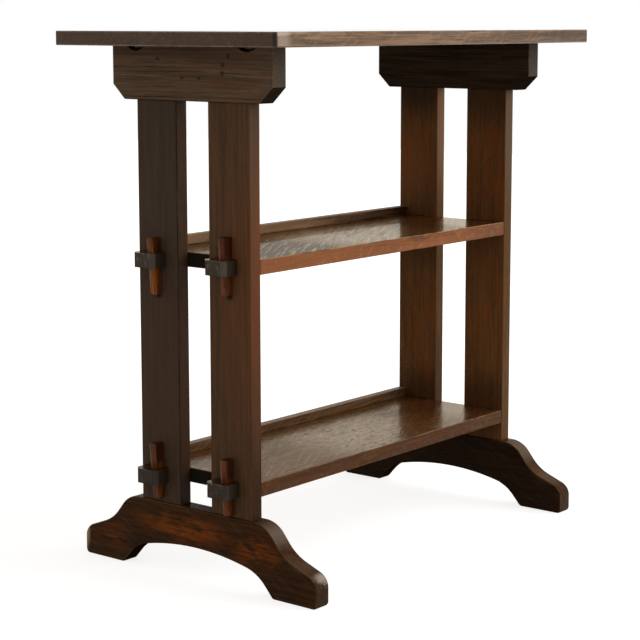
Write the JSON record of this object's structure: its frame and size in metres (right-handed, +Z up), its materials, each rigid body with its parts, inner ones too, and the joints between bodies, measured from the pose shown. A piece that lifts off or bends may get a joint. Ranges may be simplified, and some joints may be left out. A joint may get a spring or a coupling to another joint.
{
  "type": "book stand",
  "caption": "Oak book stand with a plain top, open shelves with low back strips, paired posts on scrolled feet, and keyed through-tenons.",
  "frame": {"origin": "centre of the footprint, on the floor under the middle of the stand", "axes": "+X right along the shelves, -Y towards the front with +Y towards the shelves' back strips, +Z up"},
  "size_m": [0.66, 0.382, 0.667],
  "materials": {
    "top_oak": "dark fumed oak, satin",
    "frame_oak": "dark fumed oak, satin",
    "shelf_oak": "reddish brown quartered oak, satin",
    "key_oak": "orange brown oak, satin",
    "iron": "dull grey steel"
  },
  "bodies": {
    "stand": {"top_board": "top_oak", "left_bearer": "frame_oak", "right_bearer": "frame_oak", "left_rear_post": "frame_oak", "left_front_post": "frame_oak", "right_rear_post": "frame_oak", "right_front_post": "frame_oak", "left_foot": "frame_oak", "right_foot": "frame_oak", "upper_shelf": "shelf_oak", "lower_shelf": "shelf_oak", "upper_rail": "shelf_oak", "lower_rail": "shelf_oak", "top_fasteners": "iron", "fastener_screws": "iron", "rail_screws": "iron"},
    "upper_left_rear_key": {"upper_left_rear_key": "key_oak"},
    "upper_left_front_key": {"upper_left_front_key": "key_oak"},
    "lower_left_rear_key": {"lower_left_rear_key": "key_oak"},
    "lower_left_front_key": {"lower_left_front_key": "key_oak"},
    "upper_right_rear_key": {"upper_right_rear_key": "key_oak"},
    "upper_right_front_key": {"upper_right_front_key": "key_oak"},
    "lower_right_rear_key": {"lower_right_rear_key": "key_oak"},
    "lower_right_front_key": {"lower_right_front_key": "key_oak"}
  },
  "joints": [
    {"name": "upper_left_rear_key_lift", "type": "slide", "parent": "stand", "child": "upper_left_rear_key", "axis": [0, 0, 1], "range_m": [0, 0.0552]},
    {"name": "upper_left_front_key_lift", "type": "slide", "parent": "stand", "child": "upper_left_front_key", "axis": [0, 0, 1], "range_m": [0, 0.0462]},
    {"name": "lower_left_rear_key_lift", "type": "slide", "parent": "stand", "child": "lower_left_rear_key", "axis": [0, 0, 1], "range_m": [0, 0.0412]},
    {"name": "lower_left_front_key_lift", "type": "slide", "parent": "stand", "child": "lower_left_front_key", "axis": [0, 0, 1], "range_m": [0, 0.0447]},
    {"name": "upper_right_rear_key_lift", "type": "slide", "parent": "stand", "child": "upper_right_rear_key", "axis": [0, 0, 1], "range_m": [0, 0.0502]},
    {"name": "upper_right_front_key_lift", "type": "slide", "parent": "stand", "child": "upper_right_front_key", "axis": [0, 0, 1], "range_m": [0, 0.0532]},
    {"name": "lower_right_rear_key_lift", "type": "slide", "parent": "stand", "child": "lower_right_rear_key", "axis": [0, 0, 1], "range_m": [0, 0.0432]},
    {"name": "lower_right_front_key_lift", "type": "slide", "parent": "stand", "child": "lower_right_front_key", "axis": [0, 0, 1], "range_m": [0, 0.0422]}
  ]
}
